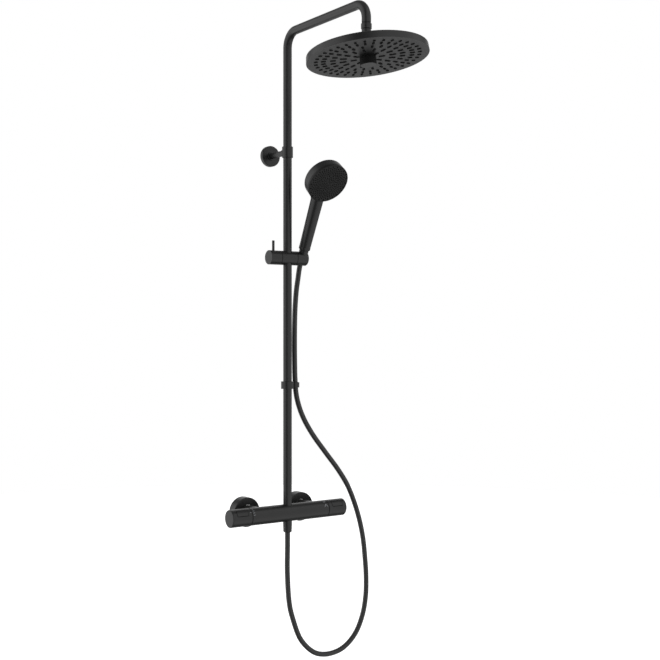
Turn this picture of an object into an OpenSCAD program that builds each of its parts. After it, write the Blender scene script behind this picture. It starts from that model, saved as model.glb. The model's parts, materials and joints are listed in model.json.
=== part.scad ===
// Rainfall shower column: a thermostatic bar valve on two wall inlets, a riser with an overhead
// arm and a round rain head on a ball joint, a hand shower in a sliding holder, and its hose.
// The origin lies on the wall, midway between the two inlets, at the height of the valve's axis.
// +X is to the right when facing the wall, the front faces -Y, and +Z is up. Millimetres.

/* [Wall and inlets] */
// Distance between the hot and the cold inlet
inlet_gap = 150; // [150:1:150]
// Distance from the wall to the axis of the valve and the riser
standoff = 81; // [78:1:90]
// Radius of the cover rosettes on the inlets
rosette_r = 34.5; // [32:0.5:36]
// Depth of the cover rosettes
rosette_depth = 24.4; // [22:0.2:26]

/* [Valve bar] */
// Radius of the valve bar and its handles
bar_r = 20.2; // [19.4:0.2:22]
// Half the length of the fixed part of the bar
bar_half = 105; // [104:1:110]
// Length of each handle
handle_len = 50.4; // [50:0.2:53]
// Angle of the push buttons above the horizontal
button_angle = 40; // [36:1:50]

/* [Riser and arm] */
// Outer radius of the riser and arm tube
tube_r = 10; // [9.9:0.1:10.2]
// Height of the horizontal arm above the valve axis
arm_z = 1116; // [1100:1:1150]
// Reach of the arm from the riser to the drop
arm_reach = 306; // [290:1:330]
// Centre-line radius of the two bends
bend_r = 35; // [32:1:38]
// Height of the wall bracket above the valve axis
bracket_z = 838.9; // [820:1:860]

/* [Rain head] */
// Radius of the rain head at its lower edge
head_r = 130.4; // [128:0.1:132]
// Thickness of the rain head
head_thick = 15.5; // [14:0.5:18]
// Height of the ball joint's centre above the valve axis
ball_z = 1024; // [1015:1:1030]
// Forward tilt of the rain head
head_tilt_x = -6.74; // [-10:0.01:0]
// Sideways tilt of the rain head
head_tilt_y = -2.62; // [-5:0.01:5]

/* [Slider and hand shower] */
// Height of the slider above the valve axis
slider_z = 592.7; // [560:0.1:620]
// Radius of the slider
slider_r = 16.5; // [16.4:0.1:17.5]
// Distance from the riser to the hand shower's axis
holder_x = 40; // [39:0.5:41]
// Lean of the hand shower from the vertical
lean = 25.7; // [20:0.1:30]
// Radius of the hand shower's face
face_r = 49.4; // [46:0.2:52]
// Height of the hose clip above the valve axis
clip_z = 297; // [280:1:310]

/* [Hidden] */
$fn = 64;

// Finishes
satin_black = [0.2, 0.2, 0.2];
soft_black = [0.09, 0.09, 0.09];
brass_tone = [0.78, 0.62, 0.32];
steel_tone = [0.7, 0.7, 0.72];
ceramic_tone = [0.92, 0.9, 0.86];
nylon_tone = [0.75, 0.75, 0.72];

// Clearances
fit = 0.05;          // between a turning shaft and its bore
slip = 0.1;          // between the ball and its seats, and in the hand shower's cone
eps = 0.1;           // how far a cut runs past a face

// Inlets
inlet_x = inlet_gap / 2;
wall_thread_r = 10.48;
wall_thread_len = 18;
union_thread_r = 13.1;
neck_r = 18;
neck_end = 31;       // where the valve's necks end, measured from the valve axis to the wall
water_r = 7.5;

// Valve
bore_r = 15;
bore_start = 62;     // the cartridge bores run from here out to the ends of the bar
housing_r = bore_r - fit;
nose_end = 112;      // the outer end of the cartridges' noses
bar_chamfer = 0.7;   // on the bar's ends and the handles' inner ends, where they meet
handle_start = bar_half + 0.6;
handle_end = handle_start + handle_len;
handle_in_r = 17;
cap_seat = 148;      // where the end cap and the screw's head sit in the handle
screw_r = 2;
screw_hole_r = 2.1;
spindle_r = 6;
spline_r = 4.9;
button_x = 130;
port_r = 3.6;        // the side ports of the cartridges
window_len = 30.4;   // the push button's window in the handle
window_w = 16.4;
button_gap = 0.9;    // round the button in its window
window_corner = 2.8;
handle_round = 1.9;  // on the handle's outer edge, nearly as wide as the rim round the end cap

// Riser and arm
tube_in_r = 8.8;
arm_y = -standoff - arm_reach;
riser_foot = 14.5;
riser_top = 838;
arm_end_z = 1071.8;
elbow_z = arm_z - bend_r;
anchor_gap = 24;     // between the bracket's two screws, one above the other
stub_from = 13.2;    // from the riser's axis to where the bracket's arm starts in its collar

// Rain head, measured from the ball's centre down the head's own axis
ball_r = 9;
seat_gap = 1;
socket_r = ball_r + seat_gap + 2 * slip;
head_bottom = -28.6;
head_top = head_bottom + head_thick;
plate_r = 123;
plate_thick = 2.4;
hub_r = 17.5;
hub_drop = 14;
// Rings of outlets: radius, number of outlets, length of each outlet
outlet_rings = [[30, 8, 14], [53, 16, 15], [74, 24, 12.5], [94, 36, 11], [110, 36, 9]];
outlet_w = 5.4;

// Slider
knob_x = -52;
knob_seam = -23.4;
lock_screw_from = -44;
pin_x = -39;
pin_r = 3;
holder_seam = 19;
holder_end = 49.5;
bush_r = 12;
bush_len = 20.4;     // short enough to stay inside the slider's round sides
seam_chamfer = 0.6;  // on the edges where the knob, the slider and the holder meet

// Hand shower, measured from the holder's pivot up the hand shower's axis
grip_z = 24;
grip_top = 150;
grip_r1 = 13.3;
grip_r2 = 14.9;
face_forward = 27.2;
face_up = 195.3;
face_lean = 14.5;
shower_thick = 28;
shower_back = 5;     // thickness of the head's back wall
cone_low = -13;      // the hose cone runs from here up to its disc
disc_low = 16.7;
neck_len = 18;       // how far the handle runs on behind the head, to its round end
// Rings of nozzles on the hand shower: radius, number of nozzles
spray_rings = [[8, 6], [15, 12], [22, 18], [29, 24], [36, 30], [42, 36]];

// Hose
hose_r = 6;
hose_sides = 10;
// Points on the hose's centre line, from the valve's hose nut round the loop to the holder
hose_route = [
    [0, -81, -36], [0, -81, -80], [-0.4, -81, -140], [4.5, -81, -209], [16, -81, -253],
    [36, -81, -300], [69, -81, -334], [103, -81, -347], [141, -81, -346], [172, -81, -333],
    [199, -81, -307], [218, -81, -268], [227, -81, -225], [228.5, -81, -182], [225.5, -81, -137],
    [218, -81, -78], [202, -81, -18], [176, -81, 43], [145, -81, 89], [107, -81, 134],
    [70, -81, 179], [42, -81, 223], [26, -81, 266], [21, -81, 308], [19.6, -81, 360],
    [22, -77, 413], [28.5, -69, 470], [35.3, -64, 515], [39.5, -65, 546.2], [40, -71, 572.2],
    [40, -79, 588.2]
];
loop_x = 21;         // from the riser to the clip's loop
hose_steps = 2;      // rings in each span of the route

// --------------------------------------------------------------------------- helpers

// A disc on z = 0 whose top edge is rounded by e
module rounded_disc(r, h, e) {
    rotate_extrude() {
        square([r - e, h]);
        square([r, h - e]);
        translate([r - e, h - e]) circle(e);
    }
}

// A rounded disc with a chamfer of c round its lower edge
module drum(r, h, e, c) {
    cylinder(r1 = r - c, r2 = r, h = c);
    translate([0, 0, c]) rounded_disc(r, h - c, e);
}

// A tube on z = 0
module tube(r_out, r_in, h) {
    difference() {
        cylinder(r = r_out, h = h);
        translate([0, 0, -eps]) cylinder(r = r_in, h = h + 2 * eps);
    }
}

// Local z runs outwards along the valve: side 1 is the right end, side -1 the left end
module along_bar(side) {
    translate([0, -standoff, 0]) rotate([0, 90 * side, 0]) children();
}

// Local z runs towards the wall from the point given
module to_wall(x, y, z) {
    translate([x, y, z]) rotate([-90, 0, 0]) children();
}

// Local z runs outwards through the push button of the right (1) or left (-1) handle
module at_button(side) {
    translate([side * button_x, -standoff, 0]) rotate([90 - button_angle, 0, 0]) children();
}

// The hand shower's own frame: z up its handle, the spray side towards -y
module in_hand_shower() {
    translate([holder_x, -standoff, slider_z]) rotate([lean, 0, 0]) children();
}

// The frame of the hand shower's face: z outwards along the spray
module at_face() {
    in_hand_shower() translate([0, -face_forward, face_up]) rotate([90 + face_lean, 0, 0]) children();
}

// The rain head's own frame: the ball's centre, z up the head's axis
module in_rain_head() {
    translate([0, arm_y, ball_z]) rotate([head_tilt_x, 0, 0]) rotate([0, head_tilt_y, 0]) children();
}

// A flat bar with round ends, centred, along x
module round_bar(length, width) {
    square([length - width, width], center = true);
    for (end = [-1, 1]) translate([end * (length - width) / 2, 0]) circle(width / 2);
}

// A rectangle with round corners, centred
module round_rect(length, width, r) {
    square([length - 2 * r, width], center = true);
    square([length, width - 2 * r], center = true);
    for (a = [-1, 1], b = [-1, 1])
        translate([a * (length / 2 - r), b * (width / 2 - r)]) circle(r);
}

// A wedge of a flat ring between two angles less than 180 degrees apart
module ring_sector(r_out, r_in, from, to) {
    reach = 3 * r_out;
    middle = (from + to) / 2;
    intersection() {
        difference() {
            circle(r_out);
            circle(r_in);
        }
        polygon([[0, 0], reach * [cos(from), sin(from)], reach * [cos(middle), sin(middle)],
                 reach * [cos(to), sin(to)]]);
    }
}

// A helical spring on z = 0, swept as rings of small polygons
module spring(r, wire, length, turns) {
    sides = 8;
    steps = 16 * turns;
    points = [for (i = [0:steps], j = [0:sides - 1])
        let (a = 360 * turns * i / steps, b = 360 * j / sides,
             rr = r + wire * cos(b), z = wire + (length - 2 * wire) * i / steps + wire * sin(b))
        [rr * cos(a), rr * sin(a), z]];
    walls = [for (i = [0:steps - 1], j = [0:sides - 1])
        let (k = (j + 1) % sides)
        [i * sides + j, i * sides + k, (i + 1) * sides + k, (i + 1) * sides + j]];
    start = [[for (j = [sides - 1:-1:0]) j]];
    end = [[for (j = [0:sides - 1]) steps * sides + j]];
    polyhedron(points, concat(walls, start, end));
}

// --------------------------------------------------------------------------- hose curve

// A point on the smooth curve through the route, t from 0 to 1 between points i and i + 1
function route_point(i) = hose_route[max(0, min(len(hose_route) - 1, i))];
function curve_point(i, t) =
    let (a = route_point(i - 1), b = route_point(i), c = route_point(i + 1), d = route_point(i + 2))
    0.5 * (2 * b + (c - a) * t + (2 * a - 5 * b + 4 * c - d) * t * t
           + (3 * b - a - 3 * c + d) * t * t * t);
function unit(v) = v / norm(v);
hose_line = concat(
    [for (i = [0:len(hose_route) - 2], k = [0:hose_steps - 1]) curve_point(i, k / hose_steps)],
    [hose_route[len(hose_route) - 1]]);

// --------------------------------------------------------------------------- inlets

module union_fitting(side) {
    color(brass_tone) difference() {
        union() {
            to_wall(side * inlet_x, -43, 0) cylinder(r = union_thread_r, h = 24);
            to_wall(side * inlet_x, -19, 0) cylinder(r = 15.5, h = 13, $fn = 6);
            to_wall(side * inlet_x, -8, 0) cylinder(r = wall_thread_r, h = wall_thread_len + 8);
        }
        to_wall(side * inlet_x, -43 - eps, 0) cylinder(r = water_r, h = 62 + 2 * eps);
    }
}

module union_left() union_fitting(-1);
module union_right() union_fitting(1);

// The nut that pulls the valve's neck on to the union
module union_nut(side) {
    color(satin_black) to_wall(side * inlet_x, -standoff + neck_end + 0.3, 0) difference() {
        rounded_disc(17.5, 27, 1);
        translate([0, 0, -eps]) cylinder(r = 11.6, h = 3 + 2 * eps);
        translate([0, 0, 3]) cylinder(r = union_thread_r + fit, h = 24 + eps);
    }
}

module union_nut_left() union_nut(-1);
module union_nut_right() union_nut(1);

module inlet_filters() {
    color(steel_tone) for (side = [-1, 1])
        to_wall(side * inlet_x, -44.9, 0) difference() {
            cylinder(r = union_thread_r - fit, h = 1.8);
            for (a = [0:60:300]) rotate([0, 0, a]) translate([4.4, 0, -eps])
                cylinder(r = 1.6, h = 2 + 2 * eps);
        }
}

module check_valves() {
    color(nylon_tone) for (side = [-1, 1])
        to_wall(side * inlet_x, -58, 0) difference() {
            union() {
                cylinder(r = water_r - fit, h = 10);
                translate([0, 0, 10]) cylinder(r = 4, h = 2);
            }
            translate([0, 0, -eps]) cylinder(r = 2.5, h = 9);
        }
}

module rosette(side) {
    color(satin_black) to_wall(side * inlet_x, 0, 0) mirror([0, 0, 1]) difference() {
        rounded_disc(rosette_r, rosette_depth, 1.6);
        translate([0, 0, -eps]) cylinder(r = rosette_r - 1.6, h = rosette_depth - 1.6 + eps);
        cylinder(r = 17.8, h = rosette_depth + eps);
    }
}

module rosette_left() rosette(-1);
module rosette_right() rosette(1);

// --------------------------------------------------------------------------- valve

module valve_body() {
    boss_r = 10.5;
    nipple_r = 8.4;
    color(satin_black) difference() {
        union() {
            along_bar(1) translate([0, 0, bar_chamfer - bar_half])
                cylinder(r = bar_r, h = 2 * (bar_half - bar_chamfer));
            for (side = [-1, 1]) {
                along_bar(side) translate([0, 0, bar_half - bar_chamfer])
                    cylinder(r1 = bar_r, r2 = bar_r - bar_chamfer, h = bar_chamfer);
                to_wall(side * inlet_x, -standoff, 0) cylinder(r = neck_r, h = neck_end);
                to_wall(side * inlet_x, -standoff + neck_end - 1, 0) cylinder(r = 11.4, h = 5);
                to_wall(side * inlet_x, -standoff + neck_end + 3.4, 0) cylinder(r = 12.9, h = 1.6);
            }
            translate([0, -standoff, -25]) cylinder(r = boss_r, h = 10);
            translate([0, -standoff, -36]) cylinder(r = nipple_r, h = 12);
        }
        for (side = [-1, 1]) {
            along_bar(side) translate([0, 0, bore_start]) cylinder(r = bore_r, h = 60);
            to_wall(side * inlet_x, -standoff, 0) cylinder(r = water_r, h = 50);
        }
        along_bar(1) translate([0, 0, -bore_start - 1]) cylinder(r = 9, h = 2 * bore_start + 2);
        translate([0, -standoff, 0]) cylinder(r = 6.5, h = 30);
        translate([0, -standoff, riser_foot - 0.5]) cylinder(r = tube_r + fit, h = 20);
        translate([0, -standoff, -40]) cylinder(r = 5.5, h = 40);
    }
}

// The housing that both cartridges share: local z outwards along the bar
module cartridge_housing(chamber_r, chamber_from, chamber_to) {
    difference() {
        union() {
            translate([0, 0, bore_start]) cylinder(r = housing_r, h = bar_half - bore_start);
            translate([0, 0, bar_half - 1]) cylinder(r = 9.5, h = nose_end - bar_half + 1);
        }
        translate([0, 0, chamber_from]) cylinder(r = chamber_r, h = chamber_to - chamber_from);
        translate([0, 0, chamber_to - eps]) cylinder(r = spindle_r + fit, h = 30);
        translate([0, 0, inlet_x]) rotate([90, 0, 0])
            cylinder(r = port_r, h = 2 * bore_r + 4, center = true);
    }
}

module thermostat_cartridge() {
    color(brass_tone) along_bar(-1) difference() {
        cartridge_housing(9, bore_start + 2, 96);
        translate([0, 0, bore_start - eps]) cylinder(r = 5, h = 3);
    }
}

module thermostat_element() {
    color(steel_tone) along_bar(-1) {
        translate([0, 0, bore_start + 2]) cylinder(r = 7.5, h = 2);
        translate([0, 0, bore_start + 3.9]) cylinder(r = 5, h = 14);
        translate([0, 0, bore_start + 17.8]) cylinder(r = 2.2, h = 11);
    }
}

// The ring with the lug that ends the temperature handle's turn
module stop_ring() {
    color(nylon_tone) along_bar(-1) translate([0, 0, bar_half + 0.5]) linear_extrude(3.5) {
        difference() {
            circle(13);
            circle(9.55);
        }
        ring_sector(15.5, 12.5, 262.5, 372.5);
    }
}

// A spindle with a plate inside the cartridge and a splined end in the handle
module spindle(plate_r, plate_from, plate_len) {
    difference() {
        union() {
            translate([0, 0, plate_from]) cylinder(r = plate_r, h = plate_len);
            translate([0, 0, plate_from + plate_len - eps])
                cylinder(r = spindle_r, h = nose_end - plate_from - plate_len + eps);
            translate([0, 0, nose_end - eps]) cylinder(r = spline_r, h = 14 + eps);
        }
        translate([0, 0, 118]) cylinder(r = screw_r + fit, h = 10);
    }
}

module temperature_spindle() {
    color(brass_tone) along_bar(-1) spindle(8.6, 91.5, 4);
}

// A handle shell with its hub, button window, screw hole and cap recess: local z outwards
module handle_shell(side) {
    difference() {
        along_bar(side) {
            difference() {
                translate([0, 0, handle_start]) drum(bar_r, handle_len, handle_round, bar_chamfer);
                translate([0, 0, handle_start - eps]) cylinder(r = handle_in_r, h = 40);
                translate([0, 0, cap_seat]) cylinder(r = 18.2, h = 20);
            }
            difference() {
                translate([0, 0, 114]) cylinder(r = 7.5, h = 32);
                translate([0, 0, 113]) cylinder(r = spline_r + fit, h = 14.5);
                translate([0, 0, 113]) cylinder(r = screw_hole_r, h = 40);
            }
        }
        along_bar(side) translate([0, 0, 140]) cylinder(r = screw_hole_r, h = 12);
        at_button(side) linear_extrude(40)
            round_rect(window_len, window_w, window_corner);
    }
}

// The rib inside the temperature handle that meets the stop ring's lug
module temperature_handle() {
    color(satin_black) union() {
        handle_shell(-1);
        along_bar(-1) translate([0, 0, handle_start + 0.2]) linear_extrude(3)
            ring_sector(handle_in_r + 0.5, 14, 173.5, 186.5);
    }
}

module handle_screw(side) {
    color(steel_tone) along_bar(side) {
        translate([0, 0, 120]) cylinder(r = screw_r, h = cap_seat - 120 + 0.1);
        translate([0, 0, cap_seat]) difference() {
            cylinder(r = 3.5, h = 2.4);
            translate([0, 0, 1]) cylinder(r = 1.5, h = 2, $fn = 6);
        }
    }
}

module temperature_handle_screw() handle_screw(-1);
module flow_handle_screw() handle_screw(1);

module end_cap(side) {
    cap_from = cap_seat + 0.1;
    color(satin_black) along_bar(side) translate([0, 0, cap_from]) difference() {
        rounded_disc(18.1, handle_end - cap_from, 0.5);
        translate([0, 0, -eps]) cylinder(r = 15, h = 4);
    }
}

module temperature_end_cap() end_cap(-1);
module flow_end_cap() end_cap(1);

// A push button: a key that follows the handle's surface on a wider plate inside it
module push_button(side) {
    color(satin_black) difference() {
        intersection() {
            at_button(side) {
                linear_extrude(30)
                    round_rect(window_len - 2 * button_gap, window_w - 2 * button_gap,
                        window_corner - button_gap);
                translate([0, 0, 12.6]) linear_extrude(1.6)
                    round_rect(window_len, window_w + 1.2, window_corner);
            }
            along_bar(side) translate([0, 0, 110]) cylinder(r = bar_r + 0.3, h = 40);
        }
        at_button(side) translate([0, 0, -1]) cube([40, 40, 2 * 13.6], center = true);
    }
}

module temperature_button() push_button(-1);
module flow_button() push_button(1);

module button_spring(side) {
    color(steel_tone) at_button(side) translate([0, 0, 7.7]) spring(2.6, 0.3, 4.8, 3);
}

module temperature_button_spring() button_spring(-1);
module flow_button_spring() button_spring(1);

module diverter_cartridge() {
    color(brass_tone) along_bar(1) difference() {
        cartridge_housing(11.4, bore_start + 9, 86);
        for (port = [-1, 1]) translate([port * 6, 0, bore_start - eps])
            cylinder(r = 3, h = 10);
    }
}

module fixed_disc() {
    color(ceramic_tone) along_bar(1) translate([0, 0, bore_start + 9]) difference() {
        cylinder(r = 11.3, h = 3);
        for (port = [-1, 1]) translate([port * 6, 0, -eps]) cylinder(r = 3, h = 4);
    }
}

module turning_disc() {
    color(ceramic_tone) along_bar(1) translate([0, 0, bore_start + 12.05]) difference() {
        cylinder(r = 11.2, h = 3);
        translate([6, 0, -eps]) cylinder(r = 3, h = 2);
    }
}

module flow_spindle() {
    color(brass_tone) along_bar(1) spindle(10.8, bore_start + 15.1, 4);
}

module flow_handle() {
    color(satin_black) handle_shell(1);
}

// --------------------------------------------------------------------------- riser and arm

module riser() {
    color(satin_black) translate([0, -standoff, riser_foot])
        tube(tube_r, tube_in_r, riser_top - riser_foot);
}

// A quarter bend in the YZ plane, centred on the bend's own centre, from +y round to +z
module quarter_bend(r) {
    intersection() {
        rotate([0, 90, 0]) rotate_extrude() translate([bend_r, 0]) circle(r);
        translate([-20, 0, 0]) cube([40, 60, 60]);
    }
}

// The arm's outline with a tube of radius r, and its two open ends longer by extra
module arm_path(r, extra) {
    translate([0, -standoff, riser_top + 0.2 - extra])
        cylinder(r = r, h = elbow_z - riser_top - 0.2 + extra);
    translate([0, -standoff - bend_r, elbow_z]) quarter_bend(r);
    to_wall(0, arm_y + bend_r, arm_z) cylinder(r = r, h = arm_reach - 2 * bend_r);
    translate([0, arm_y + bend_r, elbow_z]) mirror([0, 1, 0]) quarter_bend(r);
    translate([0, arm_y, arm_end_z - extra]) cylinder(r = r, h = elbow_z - arm_end_z + extra);
}

module shower_arm() {
    color(satin_black) difference() {
        arm_path(tube_r, 0);
        arm_path(tube_in_r, 1);
    }
}

// The sleeve that joins the riser and the arm inside the wall bracket's collar
module riser_joint() {
    color(nylon_tone) translate([0, -standoff, riser_top - 22])
        tube(tube_in_r - fit, 6.4, 44);
}

module bracket_base() {
    color(steel_tone) to_wall(0, -5, bracket_z) difference() {
        union() {
            cylinder(r = 18, h = 5);
            translate([0, 0, -1.5]) cylinder(r = 6, h = 2);
        }
        translate([0, 0, -3]) cylinder(r = 4, h = 7);
        for (a = [-1, 1]) translate([0, a * anchor_gap / 2, -eps]) cylinder(r = 2.3, h = 5 + 2 * eps);
    }
}

module bracket_flange() {
    color(satin_black) to_wall(0, 0, bracket_z) mirror([0, 0, 1]) difference() {
        union() {
            rounded_disc(24.6, 9.9, 1.5);
            translate([0, 0, 9]) rounded_disc(10, 3, 0.8);
        }
        translate([0, 0, -eps]) cylinder(r = 23, h = 8.3);
        translate([0, 0, -eps]) cylinder(r = 6.85, h = 14);
    }
}

module bracket_arm() {
    color(satin_black) to_wall(0, -standoff + stub_from, bracket_z) {
        cylinder(r = 6.75, h = standoff - stub_from - 6.6);
        translate([0, 0, standoff - 20]) cylinder(r = 3.95, h = 5.8);
    }
}

module bracket_collar() {
    color(satin_black) difference() {
        union() {
            translate([0, -standoff, bracket_z - 12.5]) cylinder(r = 12.7, h = 25);
            to_wall(0, -standoff, bracket_z) cylinder(r = 8.6, h = 17);
        }
        translate([0, -standoff, bracket_z - 20]) cylinder(r = tube_r + fit, h = 40);
        to_wall(0, -standoff + stub_from, bracket_z) cylinder(r = 6.8, h = 10);
        translate([0, -standoff, bracket_z - 8]) rotate([0, 90, 0]) cylinder(r = 2.05, h = 20);
    }
}

module collar_grub_screw() {
    color(steel_tone) translate([tube_r + 0.1, -standoff, bracket_z - 8]) rotate([0, 90, 0])
        difference() {
            cylinder(r = 2, h = 2.6);
            translate([0, 0, 1.4]) cylinder(r = 1, h = 3, $fn = 6);
        }
}

module wall_screws() {
    color(steel_tone) for (a = [-1, 1]) to_wall(0, -7.6, bracket_z + a * anchor_gap / 2) {
        difference() {
            cylinder(r = 3.8, h = 2.6);
            translate([0, 0, -eps]) cube([1.2, 5, 2.4], center = true);
            translate([0, 0, -eps]) cube([5, 1.2, 2.4], center = true);
        }
        translate([0, 0, 2.5]) cylinder(r = 2, h = 22);
    }
}

module wall_plugs() {
    color(nylon_tone) for (a = [-1, 1]) to_wall(0, 0, bracket_z + a * anchor_gap / 2) difference() {
        cylinder(r = 3, h = 22);
        translate([0, 0, -eps]) cylinder(r = 2.05, h = 20);
    }
}

// --------------------------------------------------------------------------- hose

module valve_hose_nut() {
    color(satin_black) translate([0, -standoff, -45]) difference() {
        union() {
            cylinder(r1 = 8.6, r2 = 9.9, h = 1.6);
            translate([0, 0, 1.6]) cylinder(r1 = 9.9, r2 = 10.5, h = 18.2);
        }
        translate([0, 0, -eps]) cylinder(r = hose_r + 0.3, h = 10);
        translate([0, 0, 8]) cylinder(r = 8.4 + fit, h = 20);
    }
}

// The hose as one tube swept along its smooth centre line
module hose() {
    rings = len(hose_line);
    sides = hose_sides;
    points = [for (i = [0:rings - 1])
        let (t = unit(hose_line[min(i + 1, rings - 1)] - hose_line[max(i - 1, 0)]),
             across = unit(cross(t, [0, 1, 0])), other = cross(t, across))
        for (j = [0:sides - 1])
            hose_line[i] + hose_r * (cos(360 * j / sides) * across + sin(360 * j / sides) * other)];
    walls = [for (i = [0:rings - 2], j = [0:sides - 1])
        let (k = (j + 1) % sides)
        [i * sides + j, (i + 1) * sides + j, (i + 1) * sides + k, i * sides + k]];
    start = [[for (j = [0:sides - 1]) j]];
    end = [[for (j = [sides - 1:-1:0]) (rings - 1) * sides + j]];
    color(soft_black) polyhedron(points, concat(walls, start, end));
}

module hose_clip() {
    color(satin_black) translate([0, -standoff, clip_z]) difference() {
        union() {
            translate([0, 0, -8.5]) cylinder(r = 15, h = 17);
            translate([loop_x, 0, -6]) cylinder(r = 10, h = 12);
        }
        cylinder(r = tube_r + fit, h = 30, center = true);
        translate([loop_x, 0, 0]) cylinder(r = 7.8, h = 30, center = true);
    }
}

// --------------------------------------------------------------------------- slider

module slider_bush() {
    color(nylon_tone) translate([0, -standoff, slider_z - bush_len / 2])
        tube(bush_r, tube_r + fit, bush_len);
}

module slider_body() {
    length = holder_seam - knob_seam;
    color(satin_black) difference() {
        translate([knob_seam, -standoff, slider_z]) rotate([0, 90, 0]) {
            cylinder(r1 = slider_r - seam_chamfer, r2 = slider_r, h = seam_chamfer);
            translate([0, 0, seam_chamfer]) cylinder(r = slider_r, h = length - 2 * seam_chamfer);
            translate([0, 0, length - seam_chamfer])
                cylinder(r1 = slider_r, r2 = slider_r - seam_chamfer, h = seam_chamfer);
        }
        translate([0, -standoff, slider_z]) cylinder(r = bush_r, h = 50, center = true);
        translate([-30, -standoff, slider_z]) rotate([0, 90, 0]) cylinder(r = 4 + fit, h = 25);
        translate([5, -standoff, slider_z]) rotate([0, 90, 0]) cylinder(r = 4, h = 20);
    }
}

// The stub on which the hand shower's holder tilts
module holder_axle() {
    color(steel_tone) translate([12.2, -standoff, slider_z]) rotate([0, 90, 0]) {
        cylinder(r = 4, h = 6.8);
        translate([0, 0, 6.8]) cylinder(r = 6, h = 8);
    }
}

module lock_knob() {
    length = knob_seam - 0.3 - knob_x;
    color(satin_black) difference() {
        translate([knob_seam - 0.3, -standoff, slider_z]) rotate([0, -90, 0])
            drum(slider_r, length, 1, seam_chamfer);
        translate([lock_screw_from, -standoff, slider_z]) rotate([0, 90, 0]) cylinder(r = 4, h = 30);
        translate([pin_x, -standoff, slider_z + 9]) cylinder(r = pin_r, h = 30);
    }
}

module lock_screw() {
    color(steel_tone) translate([lock_screw_from, -standoff, slider_z]) rotate([0, 90, 0])
        cylinder(r = 4, h = -lock_screw_from - bush_r - 0.5);
}

module lock_pin() {
    color(soft_black) translate([pin_x, -standoff, slider_z + 9]) rounded_disc(pin_r, 30.3, 0.8);
}

// The hand shower's holder: a tilting drum with a cone-shaped seat, open to the side
module hand_shower_holder() {
    seat_low = -20;
    color(satin_black) difference() {
        translate([holder_seam + 0.3, -standoff, slider_z]) rotate([0, 90, 0])
            drum(slider_r, holder_end - holder_seam - 0.3, 1, seam_chamfer);
        translate([15, -standoff, slider_z]) rotate([0, 90, 0]) cylinder(r = 6 + fit, h = 12.1);
        in_hand_shower() {
            translate([0, 0, seat_low])
                cylinder(r1 = 7.86 + slip, r2 = 10.92 + slip, h = 40);
            translate([0, -6.4, -30]) cube([30, 12.8, 60]);
        }
    }
}

// --------------------------------------------------------------------------- hand shower

module hose_cone() {
    color(satin_black) in_hand_shower() difference() {
        union() {
            translate([0, 0, cone_low]) cylinder(r1 = 8.4, r2 = 10.67, h = disc_low - cone_low);
            translate([0, 0, disc_low]) rounded_disc(11, grip_z - 0.4 - disc_low, 0.6);
        }
        translate([0, 0, -14]) cylinder(r = hose_r + 0.5, h = 23);
        translate([0, 0, 8]) cylinder(r = 4.5, h = 5);
        translate([0, 0, 11.4]) cylinder(r = 9 + fit, h = 20);
    }
}

// The handle's outline, from its axis outwards: spigot, grip and round end
module grip_outline() {
    spigot_r = 9;
    spigot_z = 12;
    polygon([[0, spigot_z], [spigot_r, spigot_z], [spigot_r, grip_z], [grip_r1, grip_z],
             [grip_r2, grip_top], [grip_r2, grip_top + neck_len], [0, grip_top + neck_len]]);
    intersection() {
        translate([0, grip_top + neck_len]) circle(grip_r2);
        translate([0, grip_top]) square(3 * grip_r2);
    }
}

module hand_shower_body() {
    color(satin_black) difference() {
        union() {
            in_hand_shower() rotate_extrude() grip_outline();
            at_face() mirror([0, 0, 1]) rounded_disc(face_r, shower_thick, 4);
        }
        in_hand_shower() {
            translate([0, 0, 10]) cylinder(r = 6.4, h = 20);
            translate([0, 0, 29]) cylinder(r = 11, h = grip_top - 19);
        }
        at_face() {
            translate([0, 0, -4]) cylinder(r = 46.6, h = 10);
            translate([0, 0, shower_back - shower_thick]) cylinder(r = 44, h = 25);
        }
    }
}

module hand_shower_tube() {
    color(nylon_tone) in_hand_shower() translate([0, 0, 12.5]) tube(6.3, 5, 132);
}

// Places its children at each outlet of a set of rings
module at_rings(rings) {
    for (ring = rings, k = [0:ring[1] - 1])
        rotate([0, 0, 360 * k / ring[1]]) translate([ring[0], 0, 0]) children();
}

module hand_shower_face() {
    color(soft_black) at_face() difference() {
        translate([0, 0, -4]) cylinder(r = 46.5, h = 3.4);
        translate([0, 0, -5]) at_rings(spray_rings) cylinder(r = 1.3, h = 6);
    }
}

module hand_shower_nozzles() {
    color(soft_black) at_face() {
        translate([0, 0, -5.6]) cylinder(r = 43.9, h = 1.5);
        translate([0, 0, -4.2]) at_rings(spray_rings) cylinder(r = 1.2, h = 4.2);
    }
}

// --------------------------------------------------------------------------- rain head

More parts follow.
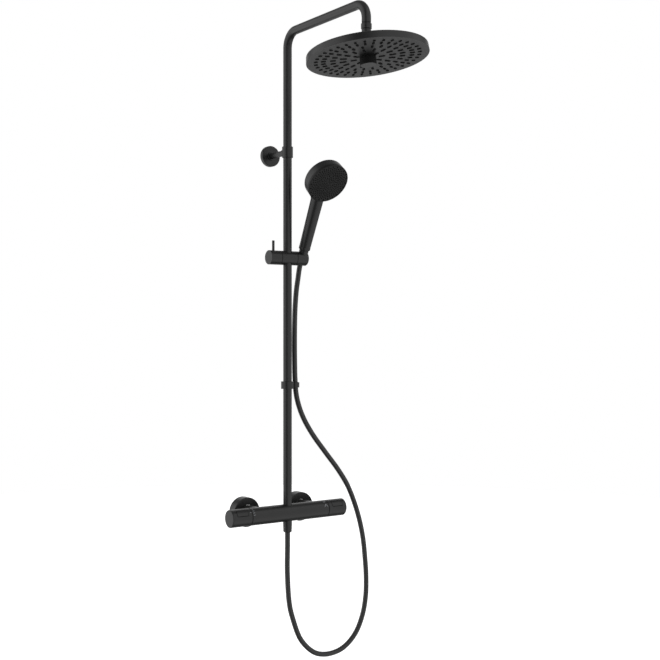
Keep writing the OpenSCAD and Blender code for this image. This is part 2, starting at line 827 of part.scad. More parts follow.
// The fitting screwed to the arm, with the collar, the stub and the ball
module ball_connector() {
    stem_r = 5.5;
    groove = 2;          // the dark grooves above and below the collar
    collar_r = 11.4;
    collar_top = arm_end_z - groove;
    collar_low = arm_end_z - 13.4;
    color(satin_black) translate([0, arm_y, 0]) difference() {
        union() {
            translate([0, 0, arm_end_z - 1]) cylinder(r = tube_in_r - fit, h = 14.4);
            translate([0, 0, arm_end_z - groove]) cylinder(r = 8.6, h = groove);
            translate([0, 0, collar_top - 1.2]) cylinder(r1 = collar_r, r2 = tube_r + 0.3, h = 1.2);
            translate([0, 0, collar_low]) cylinder(r = collar_r, h = collar_top - 1.2 - collar_low);
            translate([0, 0, collar_low - groove]) cylinder(r = 8.8, h = groove);
            translate([0, 0, ball_z + 22])
                cylinder(r = tube_r, h = collar_low - groove - ball_z - 22);
            translate([0, 0, ball_z + 15]) cylinder(r1 = stem_r, r2 = tube_r, h = 7);
            translate([0, 0, ball_z + 5]) cylinder(r = stem_r, h = 10.1);
            translate([0, 0, ball_z]) sphere(r = ball_r);
        }
        translate([0, 0, ball_z - 12]) cylinder(r = 4, h = 90);
    }
}

// A ring cut from a thin ball-shaped shell, between two heights
module seat_shell(from, to) {
    intersection() {
        difference() {
            sphere(r = socket_r - slip);
            sphere(r = ball_r + slip);
            cylinder(r = 3.6, h = 40, center = true);
        }
        translate([0, 0, from]) cylinder(r = 12, h = to - from);
    }
}

module ball_seat() {
    color(nylon_tone) in_rain_head() seat_shell(-11, -7.4);
}

module slip_ring() {
    color(soft_black) in_rain_head() seat_shell(-4.8, -2.2);
}

// The nut that holds the head's socket on the ball
module swivel_nut() {
    color(satin_black) in_rain_head() difference() {
        translate([0, 0, -1]) rounded_disc(16, 8, 1);
        sphere(r = socket_r);
        translate([0, 0, 4.4]) cylinder(r1 = 8.3, r2 = 12.5, h = 3);
        cylinder(r = 8.3, h = 6);
    }
}

module rain_head_shell() {
    edge = 3;
    color(satin_black) in_rain_head() difference() {
        union() {
            difference() {
                translate([0, 0, head_bottom]) {
                    cylinder(r1 = head_r, r2 = head_r - 1, h = head_thick - edge);
                    translate([0, 0, head_thick - edge - 0.02])
                        rounded_disc(head_r - 1, edge + 0.02, edge);
                }
                translate([0, 0, head_bottom - 1]) cylinder(r = plate_r + fit, h = 1 + plate_thick);
                translate([0, 0, head_bottom + plate_thick - eps])
                    cylinder(r = plate_r - 2, h = head_thick - plate_thick - 2);
            }
            translate([0, 0, head_top - 5]) cylinder(r = 16, h = 4 - fit - head_top);
        }
        sphere(r = socket_r);
        translate([0, 0, head_top - 10]) cylinder(r = 4, h = 20);
    }
}

module rain_head_plate() {
    color(satin_black) in_rain_head() translate([0, 0, head_bottom]) difference() {
        cylinder(r = plate_r, h = plate_thick - fit);
        translate([0, 0, -1]) cylinder(r = 6, h = 5);
        translate([0, 0, -1]) linear_extrude(5) for (ring = outlet_rings, k = [0:ring[1] - 1])
            rotate(360 * k / ring[1]) translate([ring[0], 0]) round_bar(ring[2], outlet_w);
    }
}

// The soft mat behind the plate, with an outlet bar through each slot
module rain_head_nozzles() {
    gap = 0.1;
    color(soft_black) in_rain_head() {
        translate([0, 0, head_bottom + plate_thick]) difference() {
            cylinder(r = 118, h = 1.2);
            translate([0, 0, -1]) cylinder(r = 8, h = 3);
        }
        translate([0, 0, head_bottom - 0.8]) linear_extrude(plate_thick + 1)
            for (ring = outlet_rings, k = [0:ring[1] - 1])
                rotate(360 * k / ring[1]) translate([ring[0], 0])
                    round_bar(ring[2] - 2 * gap, outlet_w - 2 * gap);
    }
}

module rain_hub() {
    color(soft_black) in_rain_head() {
        translate([0, 0, head_bottom]) mirror([0, 0, 1]) rounded_disc(hub_r, hub_drop, 0.8);
        translate([0, 0, head_bottom - eps]) cylinder(r = 5.9, h = plate_thick + 3);
    }
}

// --------------------------------------------------------------------------- nodes

valve_body();
union_left();
union_right();
union_nut_left();
union_nut_right();
inlet_filters();
check_valves();
rosette_left();
rosette_right();
thermostat_cartridge();
thermostat_element();
stop_ring();
temperature_spindle();
temperature_handle();
temperature_handle_screw();
temperature_end_cap();
temperature_button();
temperature_button_spring();
diverter_cartridge();
fixed_disc();
turning_disc();
flow_spindle();
flow_handle();
flow_handle_screw();
flow_end_cap();
flow_button();
flow_button_spring();
riser();
shower_arm();
riser_joint();
bracket_base();
bracket_flange();
bracket_arm();
bracket_collar();
collar_grub_screw();
wall_screws();
wall_plugs();
valve_hose_nut();
hose();
hose_clip();
slider_bush();
slider_body();
holder_axle();
lock_knob();
lock_screw();
lock_pin();
hand_shower_holder();
hose_cone();
hand_shower_body();
hand_shower_tube();
hand_shower_face();
hand_shower_nozzles();
ball_connector();
ball_seat();
slip_ring();
swivel_nut();
rain_head_shell();
rain_head_plate();
rain_head_nozzles();
rain_hub();
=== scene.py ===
"""Looks of the rainfall shower column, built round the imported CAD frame. Everything is in metres."""

import json
import math

import bmesh
import bpy
import numpy as np
from mathutils import Matrix, Vector


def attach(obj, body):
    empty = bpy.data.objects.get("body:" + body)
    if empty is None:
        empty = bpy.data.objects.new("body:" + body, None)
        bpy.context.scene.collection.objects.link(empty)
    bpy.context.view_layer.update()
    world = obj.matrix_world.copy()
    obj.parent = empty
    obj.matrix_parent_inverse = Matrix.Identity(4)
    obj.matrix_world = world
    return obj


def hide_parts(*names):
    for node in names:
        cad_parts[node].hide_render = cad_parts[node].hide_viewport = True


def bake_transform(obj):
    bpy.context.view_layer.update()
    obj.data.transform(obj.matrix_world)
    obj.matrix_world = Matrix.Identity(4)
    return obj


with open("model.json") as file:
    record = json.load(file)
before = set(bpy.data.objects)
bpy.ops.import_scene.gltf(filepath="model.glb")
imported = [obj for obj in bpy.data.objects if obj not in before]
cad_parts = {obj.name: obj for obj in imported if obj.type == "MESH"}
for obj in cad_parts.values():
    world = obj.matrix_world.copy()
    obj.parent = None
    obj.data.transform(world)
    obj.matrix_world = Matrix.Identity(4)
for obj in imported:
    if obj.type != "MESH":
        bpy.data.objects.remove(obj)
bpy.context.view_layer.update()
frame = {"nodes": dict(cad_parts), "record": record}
nodes = frame["nodes"]

MM = 0.001
FINE = 144       # segments of the wide turned pieces
AXIS_GAP = 0.01  # radius in mm where a turned disc ends at its axis

# ------------------------------------------------------------------ camera

SENSOR, LENS = 36, 60.35
CAMERA_PLACE = (-1.3953, -2.2493, 0.4252)
CAMERA_TURN = -34.96  # degrees about z from looking straight at the wall


def make_camera():
    """A level camera in front of the wall, to the left, at the photograph's viewing angle."""
    data = bpy.data.cameras.new("camera")
    data.sensor_width = SENSOR
    data.lens = LENS
    data.clip_start, data.clip_end = 0.05, 50
    camera = bpy.data.objects.new("camera", data)
    bpy.context.scene.collection.objects.link(camera)
    camera.location = CAMERA_PLACE
    camera.rotation_euler = (math.radians(90), 0, math.radians(CAMERA_TURN))
    bpy.context.scene.camera = camera


make_camera()

# ------------------------------------------------------------------ mesh helpers


def new_object(name, verts, faces, smooth_angle=40):
    """A mesh object, smooth except where faces meet more sharply than smooth_angle degrees."""
    mesh = bpy.data.meshes.new(name)
    mesh.from_pydata([tuple(v) for v in verts], [], [tuple(f) for f in faces])
    work = bmesh.new()
    work.from_mesh(mesh)
    bmesh.ops.remove_doubles(work, verts=work.verts, dist=1e-7)
    bmesh.ops.recalc_face_normals(work, faces=work.faces)
    for face in work.faces:
        face.smooth = True
    limit = math.radians(smooth_angle)
    for edge in work.edges:
        edge.smooth = len(edge.link_faces) == 2 and edge.calc_face_angle(0) < limit
    work.to_mesh(mesh)
    work.free()
    mesh.validate()
    piece = bpy.data.objects.new(name, mesh)
    bpy.context.scene.collection.objects.link(piece)
    return piece


def turned(name, outline, matrix, segments=96):
    """A closed ring turned about the local z axis from an outline of (radius, height) points."""
    verts, faces = [], []
    count = len(outline)
    for i in range(segments):
        a = 2 * math.pi * i / segments
        for r, z in outline:
            verts.append(matrix @ Vector((r * math.cos(a), r * math.sin(a), z)))
    for i in range(segments):
        here, there = i * count, (i + 1) % segments * count
        for j in range(count):
            k = (j + 1) % count
            faces.append((here + j, there + j, there + k, here + k))
    return new_object(name, verts, faces)


def arc(centre, radius, start, end, steps=6):
    """Points on an arc in an outline, angles in degrees."""
    angles = [math.radians(start + (end - start) * i / steps) for i in range(steps + 1)]
    return [(centre[0] + radius * math.cos(a), centre[1] + radius * math.sin(a)) for a in angles]


def tube(name, line, radius, sides=24):
    """A closed tube along a line, its rings turned as little as possible from one to the next."""
    line = [Vector(p) for p in line]
    last = len(line) - 1
    across = Vector((1, 0, 0))
    verts, faces = [], []
    for i, point in enumerate(line):
        along = (line[min(i + 1, last)] - line[max(i - 1, 0)]).normalized()
        across = (across - along * across.dot(along)).normalized()
        other = along.cross(across)
        for j in range(sides):
            a = 2 * math.pi * j / sides
            verts.append(point + radius * (math.cos(a) * across + math.sin(a) * other))
    for i in range(last):
        here, there = i * sides, (i + 1) * sides
        for j in range(sides):
            k = (j + 1) % sides
            faces.append((here + j, here + k, there + k, there + j))
    faces.append(tuple(range(sides - 1, -1, -1)))
    faces.append(tuple(last * sides + j for j in range(sides)))
    return new_object(name, verts, faces, smooth_angle=60)


# ------------------------------------------------------------------ hose

HOSE_R = 6.0 * MM
# From the nut under the valve, round the loop and up through the clip to the holder
HOSE_ROUTE = [
    (0, -.081, -.036), (0, -.081, -.080), (-.0004, -.081, -.140), (.0045, -.081, -.209),
    (.016, -.081, -.253), (.036, -.081, -.300), (.069, -.081, -.334), (.103, -.081, -.347),
    (.141, -.081, -.346), (.172, -.081, -.333), (.199, -.081, -.307), (.218, -.081, -.268),
    (.227, -.081, -.225), (.2285, -.081, -.182), (.2255, -.081, -.137), (.218, -.081, -.078),
    (.202, -.081, -.018), (.176, -.081, .043), (.145, -.081, .089), (.107, -.081, .134),
    (.070, -.081, .179), (.042, -.081, .223), (.026, -.081, .266), (.021, -.081, .308),
    (.0196, -.081, .360), (.022, -.077, .413), (.0285, -.069, .470), (.0353, -.064, .515),
    (.0395, -.065, .5462), (.040, -.071, .5722), (.040, -.079, .5882),
]
HOSE_STEPS = 14
SLIDER_BELOW = 0.548  # from here on it is held by the slider
HOLDER_BELOW = 0.578  # and from here by the holder


def smooth_line(points, steps):
    """A Catmull-Rom curve through the points."""
    points = [Vector(p) for p in points]
    last = len(points) - 1
    line = []
    for i in range(last):
        a, b, c, d = (points[max(0, min(last, k))] for k in (i - 1, i, i + 1, i + 2))
        for k in range(steps):
            t = k / steps
            line.append(0.5 * (2 * b + (c - a) * t + (2 * a - 5 * b + 4 * c - d) * t ** 2
                               + (3 * b - a - 3 * c + d) * t ** 3))
    return line + [points[last]]


def rising_past(line, height):
    """The index where the last rise of a line passes a height."""
    return max(i for i in range(len(line) - 1) if line[i].z < height <= line[i + 1].z)


hose_line = smooth_line(HOSE_ROUTE, HOSE_STEPS)
at_slider = rising_past(hose_line, SLIDER_BELOW)
at_holder = rising_past(hose_line, HOLDER_BELOW)
hose = tube("hose_run", hose_line[:at_slider + 1], HOSE_R)
hose_upper = tube("hose_upper", hose_line[at_slider:at_holder + 1], HOSE_R)
hose_end = tube("hose_end", hose_line[at_holder:], HOSE_R)
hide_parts("hose")
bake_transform(hose)
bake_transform(hose_upper)
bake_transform(hose_end)

# ------------------------------------------------------------------ hand shower

SHOWER_SEAT = (.040, -.081, .5927)
SHOWER_LEAN = 25.7    # of the grip, in degrees from upright
FACE_LEAN = 14.5      # of the spray face, in degrees from the grip
# In mm, in the grip's own frame
FACE_FORWARD, FACE_UP = 27.2, 195.3
FACE_R, BACK_R, SHOWER_THICK = 49.2, 48.6, 28
BACK_EDGE = 5.0       # rounding of the head's back edge
FACE_DEPTH = 3.0      # the body ends this far behind the rim
GRIP_LOW, GRIP_HIGH, GRIP_END = 27, 150, 168
GRIP_R_LOW, GRIP_R_HIGH = 13.3, 14.9
FILLET_FRONT, FILLET_BACK = 2.5, 14.0
FILLET_SPREAD = 20    # the fillet widens over this depth from front to back
GRID_LOW, GRID_HIGH = (-54, -62, 22), (54, 34, 256)
CELL = 1.5            # size of the grid on which the body's surface is found

face_turn = math.radians(90 + FACE_LEAN)
grip_frame = Matrix.Translation(SHOWER_SEAT) @ Matrix.Rotation(math.radians(SHOWER_LEAN), 4, "X")
face_frame = (grip_frame @ Matrix.Translation((0, -FACE_FORWARD * MM, FACE_UP * MM))
              @ Matrix.Rotation(face_turn, 4, "X"))


def head_distance(p):
    """Distance to the head: a disc that narrows a little to the back, with a round back edge."""
    dy, dz = p[:, 1] + FACE_FORWARD, p[:, 2] - FACE_UP
    face_y = math.cos(face_turn) * dy + math.sin(face_turn) * dz
    face_z = -math.sin(face_turn) * dy + math.cos(face_turn) * dz
    side_r = FACE_R + (FACE_R - BACK_R) * np.clip(face_z, -SHOWER_THICK, 0) / SHOWER_THICK
    out_r = np.hypot(p[:, 0], face_y) - (side_r - BACK_EDGE)
    out_back = -face_z - (SHOWER_THICK - BACK_EDGE)
    corner = np.hypot(np.maximum(out_r, 0), np.maximum(out_back, 0))
    back = np.minimum(np.maximum(out_r, out_back), 0) + corner - BACK_EDGE
    return np.maximum(back, face_z + FACE_DEPTH)


def grip_distance(p):
    """Distance to the grip: a slim cone with a round end inside the neck."""
    t = np.clip((p[:, 2] - GRIP_LOW) / (GRIP_HIGH - GRIP_LOW), 0, 1)
    grip_r = GRIP_R_LOW + (GRIP_R_HIGH - GRIP_R_LOW) * t
    over = np.maximum(p[:, 2] - GRIP_END, 0)
    side = np.sqrt(p[:, 0] ** 2 + p[:, 1] ** 2 + over ** 2) - grip_r
    return np.maximum(side, GRIP_LOW - p[:, 2])


def shower_distance(p):
    """Distance in mm from points in the grip's frame to the body: grip and head, melted together."""
    grip, head = grip_distance(p), head_distance(p)
    widening = np.clip(0.5 + p[:, 1] / FILLET_SPREAD, 0, 1)
    melt = FILLET_FRONT + (FILLET_BACK - FILLET_FRONT) * widening
    share = np.clip(0.5 + 0.5 * (grip - head) / melt, 0, 1)
    return grip * (1 - share) + head * share - melt * share * (1 - share)


def net_surface(distance, low, high, cell):
    """The closed surface where distance is zero: a vertex in each crossed cell, then moved on to it."""
    low, high = np.array(low, float), np.array(high, float)
    count = np.ceil((high - low) / cell).astype(int) + 1
    axes = [low[k] + cell * np.arange(count[k]) for k in range(3)]
    grid = np.stack(np.meshgrid(*axes, indexing="ij"), -1)
    inside = distance(grid.reshape(-1, 3)).reshape(count) < 0
    corners = [inside[i:i + count[0] - 1, j:j + count[1] - 1, k:k + count[2] - 1]
               for i in (0, 1) for j in (0, 1) for k in (0, 1)]
    filled = sum(c.astype(int) for c in corners)
    crossed = (filled > 0) & (filled < 8)
    index = -np.ones(crossed.shape, int)
    index[crossed] = np.arange(crossed.sum())
    points = low + cell * (np.argwhere(crossed) + 0.5)
    small, least_slope, rounds = 0.01, 0.25, 8
    for _ in range(rounds):
        d = distance(points)
        slope = np.stack([(distance(points + small * e) - distance(points - small * e)) / (2 * small)
                          for e in np.eye(3)], 1)
        size = np.maximum((slope ** 2).sum(1), least_slope)
        points = points - np.clip(d / size, -cell, cell)[:, None] * slope
    faces = []
    for axis in range(3):
        a, b = (axis + 1) % 3, (axis + 2) % 3
        ahead = np.moveaxis(inside, axis, 0)
        change = np.moveaxis(ahead[:-1] != ahead[1:], 0, axis)
        starts = np.moveaxis(ahead[:-1], 0, axis)
        for place in np.argwhere(change):
            if place[a] < 1 or place[b] < 1:
                continue
            ring = []
            for da, db in ((-1, -1), (0, -1), (0, 0), (-1, 0)):
                q = place.copy()
                q[a] += da
                q[b] += db
                ring.append(int(index[tuple(q)]))
            faces.append(ring if starts[tuple(place)] else ring[::-1])
    return points, faces


def in_metres(outline):
    """An outline given in mm."""
    return [(r * MM, z * MM) for r, z in outline]


def make_hand_shower():
    """The body, its rim and its grip ring."""
    points, faces = net_surface(shower_distance, GRID_LOW, GRID_HIGH, CELL)
    body = new_object("hand_shower_casing", [grip_frame @ Vector(p * MM) for p in points], faces, 50)
    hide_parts("hand_shower_body")
    inner, outer, rim_back, rounding = 46.6, 49.4, -6.2, 0.9
    rim_outline = ([(inner, rim_back), (outer - 0.4, rim_back), (outer, rim_back + 0.3)]
                   + arc((outer - rounding, -rounding), rounding, 0, 90)
                   + arc((inner + rounding, -rounding), rounding, 90, 180))
    rim = turned("hand_shower_rim", in_metres(rim_outline), face_frame, FINE)
    bore, low, top = 9.0, 24, 31
    ring_outline = [(bore, low), (12.9, low), (13.5, low + 0.6), (13.55, top - 0.4), (13.3, top), (bore, top)]
    ring = turned("hand_shower_grip_ring", in_metres(ring_outline), grip_frame)
    return body, rim, ring


shower_body, shower_rim, grip_ring = make_hand_shower()

# The spray face, in mm: a plate with a domed front and rows of outlets, every second one of a row
# half a pitch further out
PLATE_R, PLATE_BACK, PLATE_EDGE, DOME = 46.5, -4, -0.9, 0.5
ROW_SPOKES = [12, 24, 24, 48, 48, 48, 48]
FIRST_ROW, ROW_PITCH = 4.5, 6.0
OUTLET_LEN, OUTLET_HEIGHT = 4.2, 0.55
OUTLET_SHARE = 0.5    # of the room between neighbouring spokes
OUTLET_SUNK = 0.05    # how deep an outlet's foot stands in the plate


def bar_bump(length, width, height):
    """The foot and top of a small bar along x with round ends and a slightly narrower top."""
    reach, r = (length - width) / 2, width / 2
    outline = arc((reach, 0), r, -90, 90, 4) + arc((-reach, 0), r, 90, 270, 4)
    low = [Vector((x, y, 0)) for x, y in outline]
    top = [Vector((x * 0.94, y * 0.82, height)) for x, y in outline]
    return low, top


def add_bars(places, length, width, height, verts, faces):
    """Adds a closed bar bump at each matrix."""
    low, top = bar_bump(length, width, height)
    n = len(low)
    for place in places:
        foot = len(verts)
        lid = foot + n
        verts.extend(place @ v for v in low + top)
        faces.extend((foot + j, foot + (j + 1) % n, lid + (j + 1) % n, lid + j) for j in range(n))
        faces.append(tuple(lid + j for j in range(n)))
        faces.append(tuple(foot + j for j in range(n - 1, -1, -1)))


def dome_height(share):
    """Height of the plate's front in mm; share is 0 at its edge and 1 in its middle."""
    return PLATE_EDGE + DOME * math.sin(math.pi * share / 2)


def make_spray_face():
    """The dark plate of the hand shower, slightly domed, with its rows of outlets."""
    plate_outline = [(AXIS_GAP, PLATE_BACK), (PLATE_R, PLATE_BACK), (PLATE_R, PLATE_EDGE - 0.4),
                     (PLATE_R - 0.5, PLATE_EDGE)]
    steps = 24
    for k in range(steps + 1):
        radius = (PLATE_R - 1.2) * (1 - k / steps)
        plate_outline.append((max(radius, AXIS_GAP), dome_height(k / steps)))
    plate = turned("spray_plate", in_metres(plate_outline), face_frame, FINE)
    verts, faces = [], []
    for row, count in enumerate(ROW_SPOKES):
        width = OUTLET_SHARE * 2 * math.pi * (FIRST_ROW + ROW_PITCH * row) / count
        places = []
        for spoke in range(count):
            radius = FIRST_ROW + ROW_PITCH * (row + spoke % 2 / 2)
            height = dome_height(1 - radius / PLATE_R) - OUTLET_SUNK
            turn = Matrix.Rotation(2 * math.pi * spoke / count, 4, "Z")
            places.append(face_frame @ turn @ Matrix.Translation((radius * MM, 0, height * MM)))
        add_bars(places, OUTLET_LEN * MM, width * MM, OUTLET_HEIGHT * MM, verts, faces)
    outlets = new_object("spray_outlets", verts, faces, 50)
    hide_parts("hand_shower_face")
    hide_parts("hand_shower_nozzles")
    return plate, outlets


spray_plate, spray_outlets = make_spray_face()
for piece in (shower_body, shower_rim, grip_ring, spray_plate, spray_outlets):
    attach(piece, "hand_shower")

# ------------------------------------------------------------------ rain head

BALL_CENTRE = (0, -.387, 1.024)
HEAD_LEAN_X, HEAD_LEAN_Y = -6.74, -2.62  # degrees
HUB_R, HUB_FACE_Z = 17.5, -42.6          # mm

head_frame = (Matrix.Translation(BALL_CENTRE) @ Matrix.Rotation(math.radians(HEAD_LEAN_X), 4, "X")
              @ Matrix.Rotation(math.radians(HEAD_LEAN_Y), 4, "Y"))


def make_hub_face():
    """The metal disc under the hub, with a small step round its edge; the hub's near-black side is painted
    shade.
    """
    edge, top, low = HUB_R - 1.0, HUB_FACE_Z + 0.2, HUB_FACE_Z - 0.6
    outline = [(AXIS_GAP, top), (edge, top), (edge, low + 0.3), (edge - 0.3, low), (AXIS_GAP, low)]
    face = turned("hub_face", in_metres(outline), head_frame)
    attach(face, "rain_head")
    return face


hub_face = make_hub_face()

# ------------------------------------------------------------------ marks on the valve

BAR_R = 20.2 * MM
BAR_Y = -81 * MM
MARK_LIFT = 0.06 * MM


def on_bar(x, angle):
    """A point on the valve bar, angle in degrees above the horizontal at the front."""
    a, r = math.radians(angle), BAR_R + MARK_LIFT
    return Vector((x, BAR_Y - r * math.cos(a), r * math.sin(a)))


def stroke(x0, a0, x1, a1, width, verts, faces, steps=8):
    """A thin printed line on the bar from one place to another, given as x in mm and angle in degrees."""
    dx, da = x1 - x0, (a1 - a0) * math.pi / 180 * BAR_R / MM
    size = math.hypot(dx, da)
    side_x = -da / size * width / 2
    side_a = math.degrees(dx / size * width / 2 * MM / BAR_R)
    base = len(verts)
    for i in range(steps + 1):
        t = i / steps
        x, a = x0 + (x1 - x0) * t, a0 + (a1 - a0) * t
        for s in (1, -1):
            top = on_bar((x + s * side_x) * MM, a + s * side_a)
            inward = Vector((0, BAR_Y - top.y, -top.z)).normalized() * (2 * MARK_LIFT)
            verts.extend((top, top + inward))
    for i in range(steps):
        a, b = base + 4 * i, base + 4 * (i + 1)
        faces.extend([(a, b, b + 2, a + 2), (a + 1, a + 3, b + 3, b + 1),
                      (a, a + 1, b + 1, b), (a + 2, b + 2, b + 3, a + 3)])
    end = base + 4 * steps
    faces.extend([(base, base + 2, base + 3, base + 1), (end, end + 1, end + 3, end + 2)])


def make_marks():
    """Plain marks: a scale of dashes at the temperature handle, a chevron and a bar at the flow one."""
    verts, faces = [], []
    for a in (18, 33, 48):
        stroke(-102.5, a, -98, a, 1.1, verts, faces)
    stroke(-101.5, 60, -99.5, 66, 0.9, verts, faces)
    stroke(93.5, 22, 97.5, 40, 1.0, verts, faces)
    stroke(97.5, 40, 101.5, 22, 1.0, verts, faces)
    stroke(93, 60, 100, 60, 1.2, verts, faces)
    fixed = new_object("valve_marks", verts, faces, 60)
    verts, faces = [], []
    stroke(-110.5, 38, -107.5, 38, 1.1, verts, faces)
    turning = new_object("temperature_mark", verts, faces, 60)
    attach(fixed, "root")
    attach(turning, "temperature_control")
    return fixed, turning


marks = make_marks()

# ------------------------------------------------------------------ materials


def node_tree(name):
    """A new material, its node tree and its shader."""
    material = bpy.data.materials.new(name)
    material.use_nodes = True
    tree = material.node_tree
    return material, tree, tree.nodes["Principled BSDF"]


def add_noise(tree, scale, detail=3, stretch=(1, 1, 1)):
    """A noise texture on the object's own coordinates, which are the frame's metres."""
    place = tree.nodes.new("ShaderNodeTexCoord")
    mapping = tree.nodes.new("ShaderNodeMapping")
    mapping.inputs["Scale"].default_value = stretch
    noise = tree.nodes.new("ShaderNodeTexNoise")
    noise.inputs["Scale"].default_value = scale
    noise.inputs["Detail"].default_value = detail
    tree.links.new(place.outputs["Object"], mapping.inputs["Vector"])
    tree.links.new(mapping.outputs["Vector"], noise.inputs["Vector"])
    return noise.outputs["Fac"]


def add_range(tree, value, low, high):
    """The value mapped from 0.3 to 0.7, where noise mostly lies, to low to high."""
    spread = tree.nodes.new("ShaderNodeMapRange")
    spread.inputs["From Min"].default_value = 0.3
    spread.inputs["From Max"].default_value = 0.7
    spread.inputs["To Min"].default_value = low
    spread.inputs["To Max"].default_value = high
    tree.links.new(value, spread.inputs["Value"])
    return spread.outputs["Result"]


def add_mix(tree, factor, dark, light):
    """A colour between dark and light."""
    mix = tree.nodes.new("ShaderNodeMix")
    mix.data_type = "RGBA"
    mix.inputs["A"].default_value = (*dark, 1)
    mix.inputs["B"].default_value = (*light, 1)
    tree.links.new(factor, mix.inputs["Factor"])
    return mix.outputs["Result"]


def add_bump(tree, height, strength, distance):
    """A surface normal bumped by a height."""
    bump = tree.nodes.new("ShaderNodeBump")
    bump.inputs["Strength"].default_value = strength
    bump.inputs["Distance"].default_value = distance
    tree.links.new(height, bump.inputs["Height"])
    return bump.outputs["Normal"]


def coated(name, dark, light, rough, grain=2200, bump=0.25, specular=0.5):
    """A finish with a fine grain, patches of slightly different shade and sheen, and a soft bump."""
    material, tree, shader = node_tree(name)
    fine = add_noise(tree, grain, 2)
    broad = add_noise(tree, 35, 4)
    tree.links.new(add_mix(tree, add_range(tree, broad, 0, 1), dark, light), shader.inputs["Base Color"])
    tree.links.new(add_range(tree, fine, rough[0], rough[1]), shader.inputs["Roughness"])
    tree.links.new(add_bump(tree, fine, bump, 0.00004), shader.inputs["Normal"])
    shader.inputs["Specular IOR Level"].default_value = specular
    return material


def brushed(name, dark, light, rough, stretch):
    """Turned or brushed metal: long fine lines along one direction."""
    material, tree, shader = node_tree(name)
    lines = add_noise(tree, 400, 4, stretch)
    tree.links.new(add_mix(tree, add_range(tree, lines, 0, 1), dark, light), shader.inputs["Base Color"])
    tree.links.new(add_range(tree, lines, rough[0], rough[1]), shader.inputs["Roughness"])
    tree.links.new(add_bump(tree, lines, 0.3, 0.00003), shader.inputs["Normal"])
    shader.inputs["Metallic"].default_value = 1
    return material


satin = coated("satin_black_coat", (.0125, .0127, .0127), (.0155, .0157, .0157), (.29, .37))
plastic = coated("moulded_black", (.0115, .0117, .0117), (.0145, .0147, .0147), (.31, .39), 1500, 0.3)
# painted shade: the rim ring is darker than the casing to give the shade in the gap between casing and spray
# face
rim_painted_shade = coated("rim_gap_painted_shade", (.008, .008, .008), (.011, .011, .011), (.42, .5), 1500, 0.1, specular=.3)
face_black = coated("spray_face_black", (.0125, .0126, .0126), (.0155, .0156, .0156), (.5, .6), 1800, 0.3,
                    specular=.42)
# painted shade: a darker copy of the satin coat, so the valve's end caps look more shaded
cap_painted_shade = coated("end_cap_painted_shade", (.0105, .0107, .0107), (.0135, .0137, .0137), (.3, .38), specular=.4)
# painted shade: a darker copy of the satin coat, so the rain head's underside looks less lit from below
head_painted_shade = coated("head_plate_painted_shade", (.0115, .0117, .0117), (.0145, .0147, .0147), (.3, .38), specular=.43)
silicone = coated("silicone_black", (.0028, .0028, .0028), (.0046, .0046, .0046), (.68, .8), 1200, 0.3,
                  specular=.1)
# painted shade: a near-black finish for the hub, whose side stands in shadow and mirrors the dark plate
hub_painted_shade = coated("hub_painted_shade", (.0062, .0062, .0062), (.0088, .0088, .0088), (.58, .7), 1200, 0.3,
                   specular=.25)
hose_coat = coated("hose_jacket", (.022, .0222, .0222), (.027, .0272, .0272), (.36, .46), 1400, 0.25)
print_grey = coated("printed_grey", (.30, .31, .33), (.36, .37, .39), (.5, .6), 1800, 0.1)
nylon = coated("nylon", (.66, .65, .61), (.74, .73, .69), (.45, .58), 900, 0.3)
ceramic = coated("ceramic", (.82, .80, .76), (.88, .86, .82), (.12, .2), 900, 0.05)
brass = brushed("turned_brass", (.58, .42, .18), (.74, .57, .29), (.22, .36), (12, 1, 1))
steel = brushed("plain_steel", (.48, .48, .49), (.62, .62, .63), (.24, .38), (1, 12, 12))

SLOT_MATERIALS = {
    "satin_black": satin, "black_plastic": plastic, "black_silicone": silicone,
    "black_hose": hose_coat, "brass": brass, "steel": steel, "nylon": nylon,
    "black_rubber": silicone, "ceramic": ceramic,
}


def give(piece, material):
    """Gives a piece its one material, and a piece added here its material slot too."""
    piece.data.materials.clear()
    piece.data.materials.append(material)


for part in frame["record"]["subparts"]:
    give(nodes[part["node"]], SLOT_MATERIALS[part["material_slot"]])
for piece in (hose, hose_upper, hose_end):
    give(piece, hose_coat)
give(shower_body, plastic)
give(grip_ring, plastic)
# the rim gets the darker coat, as painted shade of the gap
give(shower_rim, rim_painted_shade)
give(spray_plate, face_black)
give(spray_outlets, silicone)
for piece in marks:
    give(piece, print_grey)
# the hub's near-black colour is painted shade; its lower face is the satin disc under it
give(nodes["rain_hub"], hub_painted_shade)
# the rain head's plate gets the darker copy of the satin coat, as painted shade
give(nodes["rain_head_plate"], head_painted_shade)
# the end caps get the darker copy of the satin coat, as painted shade
for node in ("temperature_end_cap", "flow_end_cap"):
    give(nodes[node], cap_painted_shade)
for side in ("left", "right"):
    give(nodes["union_nut_" + side], face_black)
give(hub_face, satin)

# ------------------------------------------------------------------ stage and light

FLOOR_Z = -0.42
FLOOR_R = 3.4
# The studio's soft walls of light: direction, angle off it where the light starts, angle within which
# it is full, strength
LIGHT_WALLS = [
    ((-.88, .47, .03), 62, 28, 1.1),
    ((.50, -.866, 0), 75, 51, 0.78),
    ((.56, .79, -.22), 44, 20, 0.3),
    ((.57, .77, .29), 40, 12, 0.7),
    ((-.15, .75, -.65), 36, 12, 0.65),
    ((0, 0, 1), 60, 20, 0.2),
    ((0, 0, -1), 70, 40, 0.1),
]
BASE_LIGHT = 0.06
# Area lights: name, place, width, height, power
AREA_LIGHTS = [
    ("left", (-3.0, 1.2, 1.3), 1.6, 2.6, 8),
    ("above", (-.4, -1.6, 3.0), 2.2, 2.2, 8),
]
LIT_POINT = (0, -.15, .45)


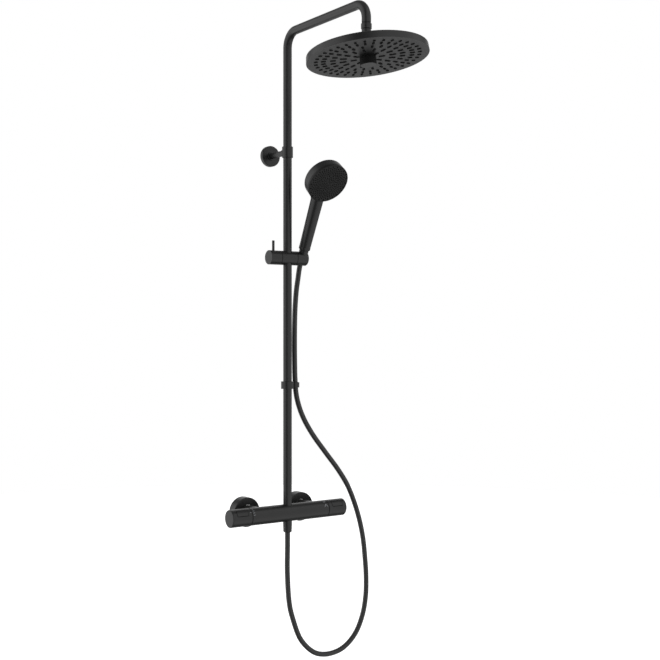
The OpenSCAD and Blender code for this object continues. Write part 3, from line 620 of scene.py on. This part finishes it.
def make_floor():
    """A pale round floor, softly lit from within, that fades into the white behind it."""
    points = [(FLOOR_R * math.cos(a), FLOOR_R * math.sin(a), FLOOR_Z)
              for a in np.linspace(0, 2 * math.pi, 96, endpoint=False)]
    floor = new_object("floor", points, [tuple(range(len(points)))])
    material, tree, shader = node_tree("pale_floor")
    shade = add_mix(tree, add_range(tree, add_noise(tree, 3), 0, 1), (.86, .86, .86), (.9, .9, .9))
    tree.links.new(shade, shader.inputs["Base Color"])
    tree.links.new(shade, shader.inputs["Emission Color"])
    shader.inputs["Emission Strength"].default_value = 0.95
    shader.inputs["Roughness"].default_value = 0.9
    shader.inputs["Specular IOR Level"].default_value = 0.0
    give(floor, material)
    # the black finish mirrors the soft walls of light, not the floor
    floor.visible_diffuse = False
    floor.visible_glossy = False


def make_light(name, place, width, height, power):
    """An area light aimed at the middle of the object, which isn't seen in the finish."""
    data = bpy.data.lights.new(name, "AREA")
    data.shape = "RECTANGLE"
    data.size, data.size_y, data.energy = width, height, power
    light = bpy.data.objects.new(name, data)
    bpy.context.scene.collection.objects.link(light)
    light.location = place
    light.rotation_euler = (Vector(LIT_POINT) - Vector(place)).to_track_quat("-Z", "Y").to_euler()
    light.visible_glossy = False


def add_lobe(tree, direction, towards, start, full, strength):
    """Light from the directions within a cone: none at an angle of start degrees, all of it at full."""
    dot = tree.nodes.new("ShaderNodeVectorMath")
    dot.operation = "DOT_PRODUCT"
    dot.inputs[1].default_value = Vector(towards).normalized()
    tree.links.new(direction, dot.inputs[0])
    ramp = tree.nodes.new("ShaderNodeMapRange")
    ramp.interpolation_type = "SMOOTHSTEP"
    ramp.inputs["From Min"].default_value = math.cos(math.radians(start))
    ramp.inputs["From Max"].default_value = math.cos(math.radians(full))
    ramp.inputs["To Min"].default_value = 0
    ramp.inputs["To Max"].default_value = strength
    tree.links.new(dot.outputs["Value"], ramp.inputs["Value"])
    return ramp.outputs["Result"]


def make_world():
    """White behind everything, and a soft studio of broad light walls as the source of light."""
    world = bpy.data.worlds.new("world")
    bpy.context.scene.world = world
    world.use_nodes = True
    tree = world.node_tree
    place = tree.nodes.new("ShaderNodeTexCoord")
    direction = place.outputs["Generated"]
    total = None
    for wall in LIGHT_WALLS:
        add = tree.nodes.new("ShaderNodeMath")
        add.operation = "ADD"
        tree.links.new(add_lobe(tree, direction, *wall), add.inputs[0])
        if total is None:
            add.inputs[1].default_value = BASE_LIGHT
        else:
            tree.links.new(total, add.inputs[1])
        total = add.outputs["Value"]
    lit = tree.nodes.new("ShaderNodeBackground")
    lit.inputs["Color"].default_value = (1, 1, 1, 1)
    tree.links.new(total, lit.inputs["Strength"])
    seen = tree.nodes["Background"]
    seen.inputs["Color"].default_value = (1, 1, 1, 1)
    seen.inputs["Strength"].default_value = 1.0
    path = tree.nodes.new("ShaderNodeLightPath")
    mix = tree.nodes.new("ShaderNodeMixShader")
    tree.links.new(path.outputs["Is Camera Ray"], mix.inputs["Fac"])
    tree.links.new(lit.outputs["Background"], mix.inputs[1])
    tree.links.new(seen.outputs["Background"], mix.inputs[2])
    tree.links.new(mix.outputs["Shader"], tree.nodes["World Output"].inputs["Surface"])


make_floor()
make_world()
for area_light in AREA_LIGHTS:
    make_light(*area_light)
bpy.context.scene.view_settings.view_transform = "Standard"
